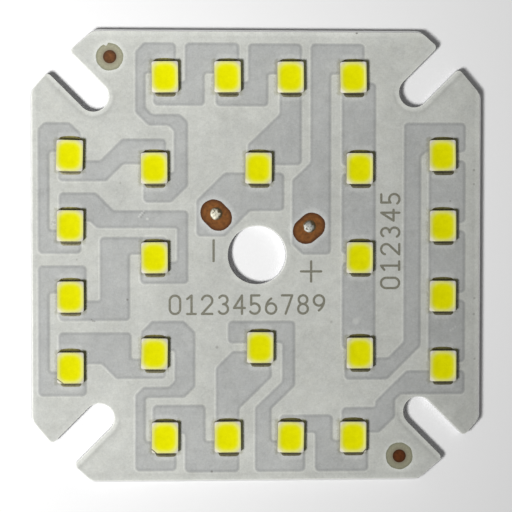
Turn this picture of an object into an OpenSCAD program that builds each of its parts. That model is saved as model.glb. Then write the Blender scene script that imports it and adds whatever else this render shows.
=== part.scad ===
// LED module board: 24 surface-mount LEDs in one series string on an aluminium-core circuit board.
// Millimetres. The origin is the centre of the bore on the back face. +Z points out of the lit side,
// +X is the right of the printed artwork and +Y is its top.

/* [Board] */
// Side of the square board
board_side = 48; // [47.8:0.1:50]
// Thickness of the aluminium base
base_t = 1.0; // [0.8:0.1:2]
// Thickness of the insulating layer on the base
insulation_t = 0.1; // [0.06:0.01:0.15]
// Thickness of the copper foil
copper_t = 0.035; // [0.03:0.005:0.07]
// Thickness of the solder mask on bare insulation
mask_t = 0.025; // [0.02:0.005:0.03]
// Thickness of the solder mask on top of the copper
mask_cover_t = 0.02; // [0.01:0.005:0.03]

/* [Punching and scoring] */
// Diameter of the wire hole in the middle
bore_d = 6.2; // [5:0.1:6.4]
// Width of each corner slot, for an M3 screw
slot_w = 3.2; // [3:0.1:3.5]
// Side of the square on which the four screws sit
screw_square = 34.1; // [33.8:0.1:34.3]
// Distance of each slot's middle line from the diagonal
slot_offset = 0.39; // [0.2:0.01:0.5]
// Mean leg of the cut across each corner, at the sides
corner_cut = 6.7; // [6.4:0.1:7]
// How much the two ends of a cut differ from the mean leg
cut_skew = 0.09; // [0:0.01:0.15]
// How much further out a cut lies at the slot than at the sides
cut_slant = 0.3; // [0:0.05:0.4]
// Radius of the tips at the mouth of a slot
tip_r = 0.45; // [0.1:0.05:0.6]
// Radius where a corner cut meets a side
side_r = 1.2; // [0.4:0.1:1.6]
// Angle of the score lines along which the board was snapped off its panel
score_angle = 60; // [30:5:90]
// Depth of the score lines, on both faces
score_depth = 0.3; // [0.2:0.05:0.35]
// How far the artwork and the scored sides lie above the punched holes
artwork_lift = -0.15; // [-0.2:0.05:0.1]

/* [Copper and mask] */
// Radius of a track's square corners
track_r = 0.45; // [0.1:0.05:0.6]
// Radius of a track's slanted bends
bend_r = 0.5; // [0.2:0.05:0.6]
// Radius of a track's square inner corners
notch_r = 0.3; // [0.15:0.05:0.4]
// How far the raised mask reaches past the copper under it
mask_shoulder = 0.07; // [0.04:0.01:0.1]
// How far the mask stays back from the scored sides and the punched edges
mask_setback = 0.1; // [0.05:0.01:0.2]
// Diameter of the copper dot of a fiducial mark
fiducial_d = 1.4; // [1:0.1:1.6]
// Diameter of the mask opening round a fiducial mark
fiducial_clear_d = 2.9; // [2.4:0.1:3]

/* [LED package] */
// Width of the package at its foot
led_w = 2.84; // [2.7:0.02:2.9]
// Length of the package at its foot, without its leads
led_l = 3.34; // [3.3:0.02:3.46]
// Height of the package
led_h = 0.75; // [0.6:0.05:0.9]
// How far the outer walls lean in over the height
led_lean = 0.03; // [0:0.01:0.1]
// Width of the white rim round the phosphor
rim_w = 0.28; // [0.2:0.01:0.35]
// How far the cup's walls lean in from rim to floor
cup_lean = 0.25; // [0.1:0.05:0.35]
// Length of the cathode mark cut from a top corner
cathode_cut = 0.4; // [0.2:0.02:0.4]
// Thickness of the lead frame
lead_t = 0.2; // [0.1:0.05:0.25]
// Thickness of the solder under a lead, or more where the mask holds the package up
solder_t = 0.02; // [0.01:0.005:0.04]

/* [Printing] */
// Width of the printed strokes
ink_w = 0.25; // [0.15:0.01:0.3]
// Thickness of the printed ink
ink_t = 0.01; // [0.01:0.005:0.02]
// Height of the printed figures, between the middles of their strokes
figure_h = 1.95; // [1.6:0.05:2]

/* [Hidden] */
$fn = 48;
LED_COUNT = 24;

function led_name(i, piece) = str("led_", i < 9 ? "0" : "", i + 1, "_", piece);

// Heights of the faces above the back
insulation_z = base_t;
foil_z = insulation_z + insulation_t;
foil_top_z = foil_z + copper_t;
mask_top_z = foil_z + mask_t;
joint_t = max(solder_t, mask_cover_t);
led_z = foil_top_z + joint_t;

// Places of the LEDs, in the artwork's own axes, whose centre is the middle of the board
column_left_x = -19.78;
column_right_x = 19.92;
column_top_y = 10.72;
column_pitch = 7.48;
row_top = [0.24, 18.97];
row_bottom = [0.29, -19.24];
row_pitch = 6.685;
inner_left_x = -10.88;
inner_right_x = 11.02;
inner_y = [9.33, -0.13, -10.3];
centre_top = [0.18, 9.35];
centre_bottom = [0.38, -9.7];

function row_led(i, middle) = middle + [(i - 1.5) * row_pitch, 0];
function column_led(i, x) = [x, column_top_y - i * column_pitch];

// The LEDs in the order in which the current runs through them, from the plus pad to the minus pad
LEDS = [
    row_led(3, row_top),
    [inner_right_x, inner_y[0]], [inner_right_x, inner_y[1]], [inner_right_x, inner_y[2]],
    column_led(0, column_right_x), column_led(1, column_right_x), column_led(2, column_right_x),
    column_led(3, column_right_x),
    row_led(3, row_bottom), row_led(2, row_bottom),
    centre_bottom,
    row_led(1, row_bottom), row_led(0, row_bottom),
    [inner_left_x, inner_y[2]],
    column_led(3, column_left_x), column_led(2, column_left_x),
    [inner_left_x, inner_y[1]],
    column_led(1, column_left_x), column_led(0, column_left_x),
    [inner_left_x, inner_y[0]],
    row_led(0, row_top), row_led(1, row_top), row_led(2, row_top),
    centre_top
];

// Corners of the 25 copper islands, in the artwork's axes, in the order of the current.
// Each joins the lower pad of one LED to the upper pad of the next.
TRACKS = [
    // plus wire pad to LED 1
    [[3.75, 8.1], [5.7, 9.95], [5.7, 22.55], [11.4, 22.55], [11.4, 19.35], [7.85, 19.35],
     [7.85, 0.22], [4.85, 0.22], [3.75, 1.3]],
    // LED 1 to 2, 2 to 3 and 3 to 4
    [[9.05, 18.45], [12.65, 18.45], [12.65, 9.65], [9.05, 9.65]],
    [[9.05, 8.8], [12.65, 8.8], [12.65, 0.25], [9.05, 0.25]],
    [[9.1, -0.65], [12.65, -0.65], [12.65, -9.85], [9.1, -9.85]],
    // LED 4 to 5
    [[15.72, -9.15], [14.05, -10.85], [9.4, -10.85], [9.4, -13.15], [13.95, -13.15], [17.52, -9.6],
     [17.52, 10.6], [18, 11.1], [22.3, 11.1], [22.3, 14.2], [15.72, 14.2]],
    // LED 5 to 6, 6 to 7 and 7 to 8
    [[18.4, 10.2], [22.3, 10.2], [22.3, 3.58], [18.4, 3.58]],
    [[18.4, 2.72], [22.3, 2.72], [22.3, -3.9], [18.4, -3.9]],
    [[18.4, -4.7], [22.3, -4.7], [22.3, -11.35], [18.4, -11.35]],
    // LED 8 to 9
    [[22.3, -12.25], [16.05, -12.25], [12.72, -15.5], [12.72, -16.15], [9.1, -16.15], [9.1, -18.85],
     [13.1, -18.85], [14.8, -17.2], [14.8, -15.35], [15.45, -14.76], [22.3, -14.76]],
    // LED 9 to 10
    [[2.45, -16.92], [8.1, -16.92], [8.1, -19.65], [11.92, -19.65], [11.92, -22.95], [6.25, -22.95],
     [6.25, -18.8], [2.45, -18.8]],
    // LED 10 to 11
    [[-0.18, -22.95], [5.15, -22.95], [5.15, -19.65], [1.55, -19.65], [1.55, -16.2], [4.05, -13.8],
     [4.05, -6.88], [-3.08, -6.88], [-3.08, -9.2], [2.72, -9.2], [2.72, -13.35], [-0.18, -16.1]],
    // LED 11 to 12
    [[-2.6, -10.1], [1.55, -10.1], [1.55, -12.85], [-1.9, -16.2], [-1.9, -18.8], [-4.35, -18.8],
     [-4.35, -11.85]],
    // LED 12 to 13
    [[-11.08, -15.8], [-5.5, -15.8], [-5.5, -19.65], [-1.9, -19.65], [-1.9, -22.95], [-7.65, -22.95],
     [-7.65, -18.8], [-11.08, -18.8]],
    // LED 13 to 14
    [[-11.15, -6.85], [-7.8, -6.85], [-6.6, -8.05], [-6.6, -13.85], [-7.72, -14.97], [-11.85, -14.97],
     [-11.85, -19.65], [-8.6, -19.65], [-8.6, -22.78], [-12.92, -22.78], [-12.92, -14.72],
     [-12.05, -13.87], [-9.38, -13.87], [-8.74, -13.23], [-8.74, -10], [-12.3, -10], [-12.3, -8]],
    // LED 14 to 15
    [[-21.02, -8.05], [-13.36, -8.05], [-13.36, -10.85], [-9.72, -10.85], [-9.72, -12.93],
     [-14.95, -12.93], [-16.5, -11.35], [-21.02, -11.35]],
    // LED 15 to 16
    [[-23.15, -0.95], [-18.1, -0.95], [-18.1, -3.85], [-21.98, -3.85], [-21.98, -12.2], [-18.1, -12.2],
     [-18.1, -14.75], [-23.15, -14.75]],
    // LED 16 to 17
    [[-16.65, 2.05], [-9.6, 2.05], [-9.6, 0.25], [-13.52, 0.25], [-13.52, -6.76], [-21, -6.76],
     [-21, -4.68], [-16.65, -4.68]],
    // LED 17 to 18
    [[-20.95, 6.75], [-17.08, 6.75], [-15.22, 4.87], [-7.35, 4.87], [-7.35, -2.86], [-12.4, -2.86],
     [-12.4, -0.58], [-8.5, -0.58], [-8.5, 3.05], [-17, 3.05], [-17.7, 3.75], [-20.95, 3.75]],
    // LED 18 to 19
    [[-23.15, 0.35], [-18.65, 0.35], [-18.65, 2.82], [-21.98, 2.82], [-21.98, 11.08], [-18.65, 11.08],
     [-18.65, 13], [-19.85, 14.15], [-22.5, 14.15], [-23.15, 13.5]],
    // LED 19 to 20
    [[-21.02, 8], [-16, 8], [-14.2, 9.8], [-9.7, 9.8], [-9.7, 12.45], [-14.3, 12.45], [-16.6, 10.15],
     [-21.02, 10.15]],
    // LED 20 to 21
    [[-12.05, 5.75], [-9.15, 5.75], [-7.38, 7.48], [-7.38, 14.25], [-8.18, 15.05], [-11.15, 15.05],
     [-11.85, 15.75], [-11.85, 19.4], [-8.65, 19.4], [-8.65, 22.6], [-12, 22.6], [-12.9, 21.65],
     [-12.9, 15.25], [-11.55, 13.9], [-9.42, 13.9], [-8.82, 13.3], [-8.82, 8.9], [-12.05, 8.9]],
    // LED 21 to 22 and 22 to 23
    [[-11, 16], [-5.6, 16], [-5.6, 19.4], [-1.95, 19.4], [-1.95, 22.6], [-7.65, 22.6], [-7.65, 18.5], [-11, 18.5]],
    [[-4.4, 15.95], [1.15, 15.95], [1.15, 19.35], [4.72, 19.35], [4.72, 22.55], [-0.95, 22.55],
     [-0.95, 18.5], [-4.4, 18.5]],
    // LED 23 to 24
    [[2.4, 18.5], [4.72, 18.5], [4.72, 9.72], [-0.98, 9.72], [-0.98, 11.85], [2.4, 15.1]],
    // LED 24 to the minus wire pad
    [[-3.45, 8.88], [2.85, 8.88], [2.85, 4.86], [-0.75, 4.86], [-3.45, 2.15], [-6.43, 2.15], [-6.43, 5.95]]
];

// Wire pads: middle of the oval opening, half the way between its two round ends, and their radius
minus_pad = [-4.35, 4.4];
minus_stretch = [0.28, -0.28];
plus_pad = [5.55, 3];
plus_stretch = [0.33, 0.28];
wire_pad_r = 1.4;
minus_drop = [-4.35, 4.55];
plus_drop = [5.6, 3.2];
drop_r = 0.7;
drop_h = 0.28;

fiducials = [[-15.6, 21.1], [15.3, -21.4]];

// Polarity marks and rows of figures
minus_mark = [-4.62, 0.62];
minus_mark_l = 2.2;
plus_mark = [5.78, -1.6];
plus_mark_l = 2.15;
middle_figures = [0, 1, 2, 3, 4, 5, 6, 7, 8, 9];
middle_start = [-8.72, -5.12];
middle_pitch = 1.705;
side_figures = [0, 1, 2, 3, 4, 5];
side_start = [14.25, -2.85];
side_pitch = 1.8;

// Package details. A package sits a little off the middle between its two pads.
placed_off = [-0.07, 0.03];
lead_w = 2.1;
lead_gap = 0.9;
lead_reach = 1.75;
package_r = 0.16;
cup_r = 0.5;
cup_drop = 0.02;
die_size = [0.6, 0.6, 0.12];
die_gap = 0.04;
pad_w = 2.25;
pad_near = 0.7;
pad_far = 2.02;
pad_r = 0.35;
fillet_rise = 0.17;
fillet_foot = 0.01;
overlap = 1;

// Sides of the board, seen from the bore: right, top, left and bottom
half = board_side / 2;
sides = [half, half + artwork_lift, half, half - artwork_lift];
seat_reach = screw_square / sqrt(2);
score_w = score_depth * tan(score_angle / 2);

// Floor of the reflector cup, and the die that sits near its lower end
wall_w = led_lean + rim_w + cup_lean;
cup_floor = [led_w - 2 * wall_w, led_l - 2 * wall_w];
die_y = (die_size.y - cup_floor.y) / 2 + die_gap;

// Plane geometry

function unit(p) = p / norm(p);
function wrap(p, i) = p[(i + len(p)) % len(p)];
function total(v, i = 0) = i < len(v) ? v[i] + total(v, i + 1) : 0;
function signed_area(p) = total([for (i = [0:len(p) - 1]) cross(p[i], wrap(p, i + 1))]) / 2;
function counterclockwise(p) = signed_area(p) > 0 ? p : [for (i = [len(p) - 1:-1:0]) p[i]];
function turn(a, b, c) = let (p = unit(b - a), q = unit(c - b)) atan2(cross(p, q), p * q);

// The outline p moved outwards by d, with its corners kept
function outward(a, b) = let (e = unit(b - a)) [e.y, -e.x];
function grown(p, d) = [
    for (i = [0:len(p) - 1])
        let (m = outward(wrap(p, i - 1), p[i]), n = outward(p[i], wrap(p, i + 1)))
        p[i] + d * (m + n) / (1 + m * n)
];

// Points of an arc of radius r, or as much as fits, round the corner b of the outline a, b, c
function corner_arc(a, b, c, r) =
    let (
        bend = turn(a, b, c),
        reach = min(r * tan(abs(bend) / 2), norm(b - a) / 2, norm(c - b) / 2),
        radius = reach / tan(abs(bend) / 2),
        side = sign(bend),
        start = b - unit(b - a) * reach,
        middle = start - side * radius * outward(a, b),
        from = atan2(start.y - middle.y, start.x - middle.x),
        steps = max(2, ceil(abs(bend) / 20))
    )
    [for (k = [0:steps]) middle + radius * [cos(from + bend * k / steps), sin(from + bend * k / steps)]];

function rounded(p, radii) = [
    for (i = [0:len(p) - 1])
        each radii[i] > 0 ? corner_arc(wrap(p, i - 1), p[i], wrap(p, i + 1), radii[i]) : [p[i]]
];

// A track's outline, moved outwards by d
function track(corners, d = 0) =
    let (p = counterclockwise(corners))
    rounded(grown(p, d), [
        for (i = [0:len(p) - 1])
            let (bend = turn(wrap(p, i - 1), p[i], wrap(p, i + 1)))
            bend > 60 ? track_r + d : bend > 0 ? bend_r + d : bend > -60 ? bend_r - d : notch_r - d
    ]);

module rounded_rectangle(size, r) {
    p = [[-size.x, -size.y], [size.x, -size.y], [size.x, size.y], [-size.x, size.y]] / 2;
    polygon(rounded(p, [r, r, r, r]));
}

// Board outline

// Corners of the outline round the slot of corner k, k quarter turns from the upper right one.
// The sides stay back by side_in and the punched edges by punch_in.
function corner_outline(k, side_in, punch_in) =
    let (
        out = [cos(45 + 90 * k), sin(45 + 90 * k)],
        across = [-out.y, out.x],
        ahead = [cos(90 * k), sin(90 * k)],
        next = [-ahead.y, ahead.x],
        lift = k < 2 ? artwork_lift : -artwork_lift,
        cut_sum = board_side - corner_cut + lift - punch_in * sqrt(2),
        cut = (cut_sum + cut_slant) / sqrt(2),
        half_slot = slot_w / 2 + punch_in,
        a = sides[k] - side_in,
        b = wrap(sides, k + 1) - side_in
    )
    [
        ahead * a + next * (cut_sum - cut_skew - a),
        out * cut + across * (slot_offset - half_slot),
        out * seat_reach + across * (slot_offset - half_slot),
        out * seat_reach + across * (slot_offset + half_slot),
        out * cut + across * (slot_offset + half_slot),
        ahead * (cut_sum + cut_skew - b) + next * b
    ];

module board_outline(side_in = 0, punch_in = 0) {
    corners = [for (k = [0:3]) each corner_outline(k, side_in, punch_in)];
    radii = [for (k = [0:3]) each [side_r, tip_r, 0, 0, tip_r, side_r]];
    difference() {
        polygon(rounded(corners, radii));
        for (k = [0:3])
            rotate(45 + 90 * k) translate([seat_reach, slot_offset]) circle(slot_w / 2 + punch_in);
        circle(bore_d / 2 + punch_in);
    }
}

// Section of the base across two scored sides at distances low and high from the bore
module scored_section(low, high) {
    polygon([
        [-low, score_depth], [score_w - low, 0], [high - score_w, 0], [high, score_depth],
        [high, base_t - score_depth], [high - score_w, base_t], [score_w - low, base_t],
        [-low, base_t - score_depth]
    ]);
}

module base_plate() {
    color("silver")
    intersection() {
        linear_extrude(base_t) board_outline();
        rotate([90, 0, 0]) linear_extrude(board_side + 2 * overlap, center = true)
            scored_section(sides[2], sides[0]);
        rotate([90, 0, 90]) linear_extrude(board_side + 2 * overlap, center = true)
            scored_section(sides[3], sides[1]);
    }
}

module insulating_layer() {
    color("darkseagreen")
    translate([0, 0, insulation_z]) linear_extrude(insulation_t) board_outline(score_w);
}

// Copper, mask and print

module artwork(z) {
    translate([0, artwork_lift, z]) children();
}

module tracks(d = 0) {
    for (corners = TRACKS) polygon(track(corners, d));
}

module copper_tracks() {
    color("peru")
    artwork(foil_z) linear_extrude(copper_t) tracks();
}

module fiducial_dots() {
    color("saddlebrown")
    for (p = fiducials) artwork(foil_z) translate(p) cylinder(h = copper_t, d = fiducial_d);
}

module oval(middle, stretch, r) {
    side = [-stretch.y, stretch.x] / norm(stretch) * r;
    translate(middle + stretch) circle(r);
    translate(middle - stretch) circle(r);
    translate(middle) polygon([stretch + side, side - stretch, -stretch - side, stretch - side]);
}

module led_pads() {
    for (p = LEDS, end = [-1, 1])
        translate(p + [0, end * (pad_near + pad_far) / 2]) rounded_rectangle([pad_w, pad_far - pad_near], pad_r);
}

// Openings of the mask over the wire pads, the LEDs' pads and the fiducial marks
module mask_openings() {
    oval(minus_pad, minus_stretch, wire_pad_r);
    oval(plus_pad, plus_stretch, wire_pad_r);
    for (p = fiducials) translate(p) circle(d = fiducial_clear_d);
    led_pads();
}

module solder_mask() {
    color("gainsboro")
    difference() {
        union() {
            translate([0, 0, foil_z]) linear_extrude(mask_t)
                board_outline(score_w + mask_setback, mask_setback);
            artwork(foil_z) linear_extrude(copper_t + mask_cover_t) tracks(mask_shoulder);
        }
        artwork(foil_z - overlap) linear_extrude(overlap + copper_t) tracks();
        artwork(foil_z - overlap) linear_extrude(2 * overlap) mask_openings();
    }
}

module stroke(a, b) {
    side = [a.y - b.y, b.x - a.x] / norm(b - a) * ink_w / 2;
    polygon([a + side, a - side, b - side, b + side]);
    for (p = [a, b]) translate(p) circle(ink_w / 2);
}

// A stroke along the arc of radius r round the middle m, from one angle to the other
module bow(m, r, from, to) {
    reach = 2 * (r + ink_w);
    steps = ceil((to - from) / 60);
    translate(m) intersection() {
        difference() {
            circle(r + ink_w / 2);
            circle(r - ink_w / 2);
        }
        polygon(concat([[0, 0]], [
            for (k = [0:steps]) reach * [cos(from + (to - from) * k / steps), sin(from + (to - from) * k / steps)]
        ]));
    }
    for (t = [from, to]) translate(m + r * [cos(t), sin(t)]) circle(ink_w / 2);
}

module ring(m, r) {
    translate(m) difference() {
        circle(r + ink_w / 2);
        circle(r - ink_w / 2);
    }
}

// A plain figure, centred on the origin
module figure(n) {
    top = figure_h / 2;
    small_r = 0.46;
    large_r = top - small_r;
    wide = 0.55;
    if (n == 0) {
        bow([0, top - wide], wide, 0, 180);
        bow([0, wide - top], wide, 180, 360);
        for (x = [-wide, wide]) stroke([x, wide - top], [x, top - wide]);
    }
    if (n == 1) {
        stroke([0.05, -top], [0.05, top]);
        stroke([0.05, top], [-0.4, top - 0.35]);
        stroke([-0.4, -top], [0.5, -top]);
    }
    if (n == 2) {
        bow([0, top - wide], wide, -35, 165);
        stroke(wide * [cos(-35), sin(-35)] + [0, top - wide], [-wide, -top]);
        stroke([-wide, -top], [wide, -top]);
    }
    if (n == 3) {
        bow([0, top - small_r], small_r, -90, 150);
        bow([0, large_r - top], large_r, -150, 90);
    }
    if (n == 4) {
        stroke([0.3, -top], [0.3, top]);
        stroke([0.3, top], [-wide, -0.35]);
        stroke([-wide, -0.35], [0.6, -0.35]);
    }
    if (n == 5) {
        stroke([0.45, top], [-0.42, top]);
        stroke([-0.42, top], [-0.42, 0.15]);
        bow([-0.06, wide - top], wide, -145, 132);
    }
    if (n == 6) {
        ring([0, wide - top], wide);
        bow([0.75, wide - top], wide + 0.75, 125, 180);
    }
    if (n == 7) {
        stroke([-wide, top], [wide, top]);
        stroke([wide, top], [-0.15, -top]);
    }
    if (n == 8) {
        ring([0, top - small_r], small_r);
        ring([0, large_r - top], large_r);
    }
    if (n == 9) rotate(180) figure(6);
}

module legend_ink() {
    color("gray")
    artwork(mask_top_z) linear_extrude(ink_t) {
        translate(minus_mark) stroke([0, -minus_mark_l / 2], [0, minus_mark_l / 2]);
        translate(plus_mark) {
            stroke([0, -plus_mark_l / 2], [0, plus_mark_l / 2]);
            stroke([-plus_mark_l / 2, 0], [plus_mark_l / 2, 0]);
        }
        for (i = [0:len(middle_figures) - 1])
            translate(middle_start + [i * middle_pitch, 0]) figure(middle_figures[i]);
        for (i = [0:len(side_figures) - 1])
            translate(side_start + [0, i * side_pitch]) rotate(90) figure(side_figures[i]);
    }
}

// LED packages

// Everything of an LED is drawn round its middle, with its foot at z = 0
module at_led(i) {
    artwork(led_z) translate(LEDS[i] + placed_off) children();
}

// A block with rounded upright edges whose walls lean in by lean from z = low to z = high
module leaning_block(size, r, lean, low, high) {
    sections = [
        for (w = [size.x, size.y])
            [[-w / 2, low], [w / 2, low], [w / 2 - lean, high], [lean - w / 2, high]]
    ];
    intersection() {
        translate([0, 0, low]) linear_extrude(high - low)
            rounded_rectangle([max(size.x, size.x - 2 * lean), max(size.y, size.y - 2 * lean)], r);
        rotate([90, 0, 0]) linear_extrude(2 * led_l, center = true) polygon(sections[0]);
        rotate([90, 0, 90]) linear_extrude(2 * led_l, center = true) polygon(sections[1]);
    }
}

module lead(end) {
    y = (lead_gap / 2 + lead_reach) / 2;
    translate([0, end * y, lead_t / 2]) cube([lead_w, lead_reach - lead_gap / 2, lead_t], center = true);
}

// Inside of the reflector cup, from the lead frame up to z = high
module cup(high) {
    lean = cup_lean * (high - lead_t) / (led_h - lead_t);
    leaning_block(cup_floor, cup_r, -lean, lead_t, high);
}

// Slanted cut across the top of the lower left corner, which marks the cathode
module cathode_mark() {
    rim_corner = [led_lean - led_w / 2, led_lean - led_l / 2];
    depth = 0.4;
    translate([rim_corner.x, rim_corner.y, led_h]) rotate([0, 0, 45])
        rotate([90, 0, 0]) linear_extrude(2 * led_w, center = true)
            polygon([[cathode_cut, 0], [cathode_cut, overlap], [-overlap, overlap], [-overlap, -depth], [0, -depth]]);
}

module led_housing(i) {
    color("ivory")
    at_led(i) difference() {
        leaning_block([led_w, led_l], package_r, led_lean, 0, led_h);
        cup(led_h);
        lead(-1);
        lead(1);
        cathode_mark();
    }
}

module die() {
    translate([-die_size.x / 2, die_y - die_size.y / 2, lead_t]) cube(die_size);
}

module led_phosphor(i) {
    color("yellow")
    at_led(i) difference() {
        cup(led_h - cup_drop);
        die();
    }
}

module led_dies() {
    color("lightsteelblue")
    for (i = [0:LED_COUNT - 1]) at_led(i) die();
}

module led_terminals() {
    color("silver")
    for (i = [0:LED_COUNT - 1], end = [-1, 1]) at_led(i) lead(end);
}

// A thin film of solder under each lead, with a hollow fillet at the lead's end
module led_solder() {
    fillet_end = pad_far - placed_off.y;
    fillet_reach = fillet_end - lead_reach;
    section = concat(
        [[pad_near, joint_t], [pad_near, 0], [fillet_end, 0]],
        [
            for (t = [0:22.5:90])
                [fillet_end - fillet_reach * sin(t), fillet_foot + (fillet_rise + joint_t) * (1 - cos(t))]
        ],
        [[lead_reach, joint_t]]
    );
    color("lightgray")
    intersection() {
        for (i = [0:LED_COUNT - 1], end = [-90, 90])
            at_led(i) translate([0, 0, -joint_t]) rotate([90, 0, end]) linear_extrude(2 * pad_w, center = true)
                polygon(section);
        artwork(foil_top_z) linear_extrude(led_h) led_pads();
    }
}

// A low drop of solder on a wire pad
module wire_drop(place) {
    ball_r = (drop_r * drop_r + drop_h * drop_h) / (2 * drop_h);
    color("gainsboro")
    artwork(foil_top_z) translate(place) intersection() {
        translate([0, 0, drop_h - ball_r]) sphere(ball_r);
        cylinder(h = 2 * drop_h, r = 2 * drop_r);
    }
}

module plus_wire_solder() {
    wire_drop(plus_drop);
}

module minus_wire_solder() {
    wire_drop(minus_drop);
}

base_plate();
insulating_layer();
copper_tracks();
fiducial_dots();
solder_mask();
legend_ink();
led_terminals();
led_dies();
led_solder();
plus_wire_solder();
minus_wire_solder();
for (i = [0:LED_COUNT - 1]) {
    led_housing(i);
    led_phosphor(i);
}
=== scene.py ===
import math
import random
from functools import reduce

import bmesh
import bpy
from bpy.props import FloatProperty, FloatVectorProperty, PointerProperty
from mathutils import Matrix, Vector, noise


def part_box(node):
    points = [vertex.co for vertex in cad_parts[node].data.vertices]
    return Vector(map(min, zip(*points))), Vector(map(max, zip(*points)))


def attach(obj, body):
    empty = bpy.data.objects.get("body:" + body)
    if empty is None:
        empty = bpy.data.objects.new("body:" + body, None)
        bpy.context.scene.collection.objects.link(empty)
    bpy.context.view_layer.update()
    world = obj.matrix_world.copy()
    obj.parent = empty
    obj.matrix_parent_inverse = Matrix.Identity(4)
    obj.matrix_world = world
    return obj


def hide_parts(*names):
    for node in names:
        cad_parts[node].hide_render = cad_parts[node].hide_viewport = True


bl_info = {
    "name": "LED module board",
    "version": (1, 0, 0),
    "blender": (4, 5, 0),
    "location": "View3D > Sidebar > LED board",
    "description": "Square aluminium-core board with 24 surface-mount LEDs",
    "category": "Object",
}

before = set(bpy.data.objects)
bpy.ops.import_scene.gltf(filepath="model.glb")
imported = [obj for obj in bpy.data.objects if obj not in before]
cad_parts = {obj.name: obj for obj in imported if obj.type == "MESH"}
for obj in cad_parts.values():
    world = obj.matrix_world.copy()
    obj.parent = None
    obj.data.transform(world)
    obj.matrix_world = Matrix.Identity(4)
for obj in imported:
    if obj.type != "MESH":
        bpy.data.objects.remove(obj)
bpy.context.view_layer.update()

# Pieces are made in millimetres and brought to metres when they are finished
MM = 0.001
SAME_POINT = 1e-4
FLAT = math.radians(0.5)
CREASE = math.radians(30)
# The upright part of a normal, above which a face counts as level and below which it counts as upright
LEVEL, UPRIGHT = 0.9, 0.1
LED_COUNT = 24
ENDS = (-1, 1)
# Width in degrees of the tooth in the rim of a round opening
TOOTH_WIDTH = 12

# Heights of the layers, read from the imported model
INSULATION_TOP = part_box("insulating_layer")[1].z / MM
FOIL_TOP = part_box("copper_tracks")[1].z / MM
MASK_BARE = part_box("legend_ink")[0].z / MM
MASK_OVER_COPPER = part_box("solder_mask")[1].z / MM
LED_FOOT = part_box("led_01_housing")[0].z / MM
# Height of the packages above their foot
LED_HEIGHT = (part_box("led_01_housing")[1].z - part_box("led_01_housing")[0].z) / MM
# How far the printed artwork lies above the punched holes
ARTWORK_LIFT = -0.15


def led_places():
    """The foot of each LED, in millimetres."""
    places = []
    for i in range(LED_COUNT):
        low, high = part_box(f"led_{i + 1:02d}_housing")
        places.append(Vector(((low.x + high.x) / 2, (low.y + high.y) / 2, low.z)) / MM)
    return places


LEDS = led_places()
# A package sits a little off the middle between its two pads
PLACED_OFF = Vector((-0.07, 0.03, 0))
PADS = [place - PLACED_OFF for place in LEDS]
# The pads' openings below and above a package: half their width, how far they lie to the right,
# how much their outer end is bowed and how far it reaches
PAD_SHAPES = {-1: (1.08, 0.07, 0.03, 2.065), 1: (1.2, 0.0, 0.15, 2.03)}
PAD_CORNER = 0.3
# What the placing of each package adds to that: sideways and upwards in hundredths of a
# millimetre, and its turn in tenths of a degree
PLACING = (
    (-1, 3, 10), (-5, 1, 0), (-3, -1, -2), (1, -1, 1), (-8, 2, 7), (-1, -1, 3), (-1, -2, -3), (7, -1, 0),
    (2, -3, -2), (3, -1, -10), (1, 3, -3), (-2, 6, 6), (1, 3, -2), (4, 1, -7), (8, -2, -1), (9, 0, 3),
    (5, 2, 4), (6, 3, -4), (2, -6, -14), (1, 2, 5), (6, 0, 8), (-1, 3, 6), (-1, 2, 5), (0, 1, -2),
)


def standing(i):
    """How LED number i stands on its pads, as a matrix in millimetres."""
    right, up, turn = PLACING[i]
    moved = LEDS[i] + Vector((right, up, 0)) / 100
    return Matrix.Translation(moved) @ Matrix.Rotation(math.radians(turn / 10), 4, "Z")


# Sizes and colours that a user would change

def length(name, description, millimetres):
    return FloatProperty(name=name, description=description, default=millimetres * MM, min=0, unit="LENGTH")


def colour(name, description, value):
    return FloatVectorProperty(
        name=name, description=description, default=value, subtype="COLOR", size=3, min=0, max=1
    )


def strength(name, description, value):
    return FloatProperty(name=name, description=description, default=value, min=0)


class BoardSizes(bpy.types.PropertyGroup):
    """Sizes of the board's dressed layers."""

    mask_setback: length("Mask setback", "Distance of the mask from the edges under it", 0.05)
    shoulder_out: length("Shoulder outside", "How far the mask's rise starts outside the copper", 0.27)
    shoulder_in: length("Shoulder inside", "How far inside the copper's edge the rise ends", 0.38)
    edge_roll: length("Edge roll", "Rounding of the insulation's punched edges", 0.05)
    snap_depth: length("Snap depth", "Roughness of the snapped sides", 0.05)


class LedSizes(bpy.types.PropertyGroup):
    """Sizes of the LED packages."""

    rim: length("Rim", "Width of the white rim round the phosphor", 0.28)
    cup_lean: length("Cup lean", "How far the cup's walls lean in from rim to floor", 0.25)
    edge_round: length("Edge rounding", "Rounding of the moulded edges", 0.035)
    meniscus: length("Meniscus", "How far the middle of the phosphor sinks", 0.05)


class BoardColours(bpy.types.PropertyGroup):
    """Colours of the finishes."""

    mask: colour("Mask", "Solder mask on bare insulation", (0.563, 0.575, 0.546))
    mask_track: colour("Mask on copper", "Solder mask on top of the copper", (0.447, 0.458, 0.453))
    resin: colour("Resin", "Insulating layer", (0.347, 0.335, 0.232))
    ink: colour("Ink", "Printed marks", (0.205, 0.20, 0.155))
    copper: colour("Copper", "Bare copper of the wire pads", (0.205, 0.077, 0.0185))
    plastic: colour("Plastic", "White plastic of the packages", (0.78, 0.755, 0.66))
    wall: colour("Package walls", "Plastic at the foot of the packages", (0.46, 0.44, 0.30))
    phosphor: colour("Phosphor", "Middle of the phosphor", (0.828, 0.808, 0.0))


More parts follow.
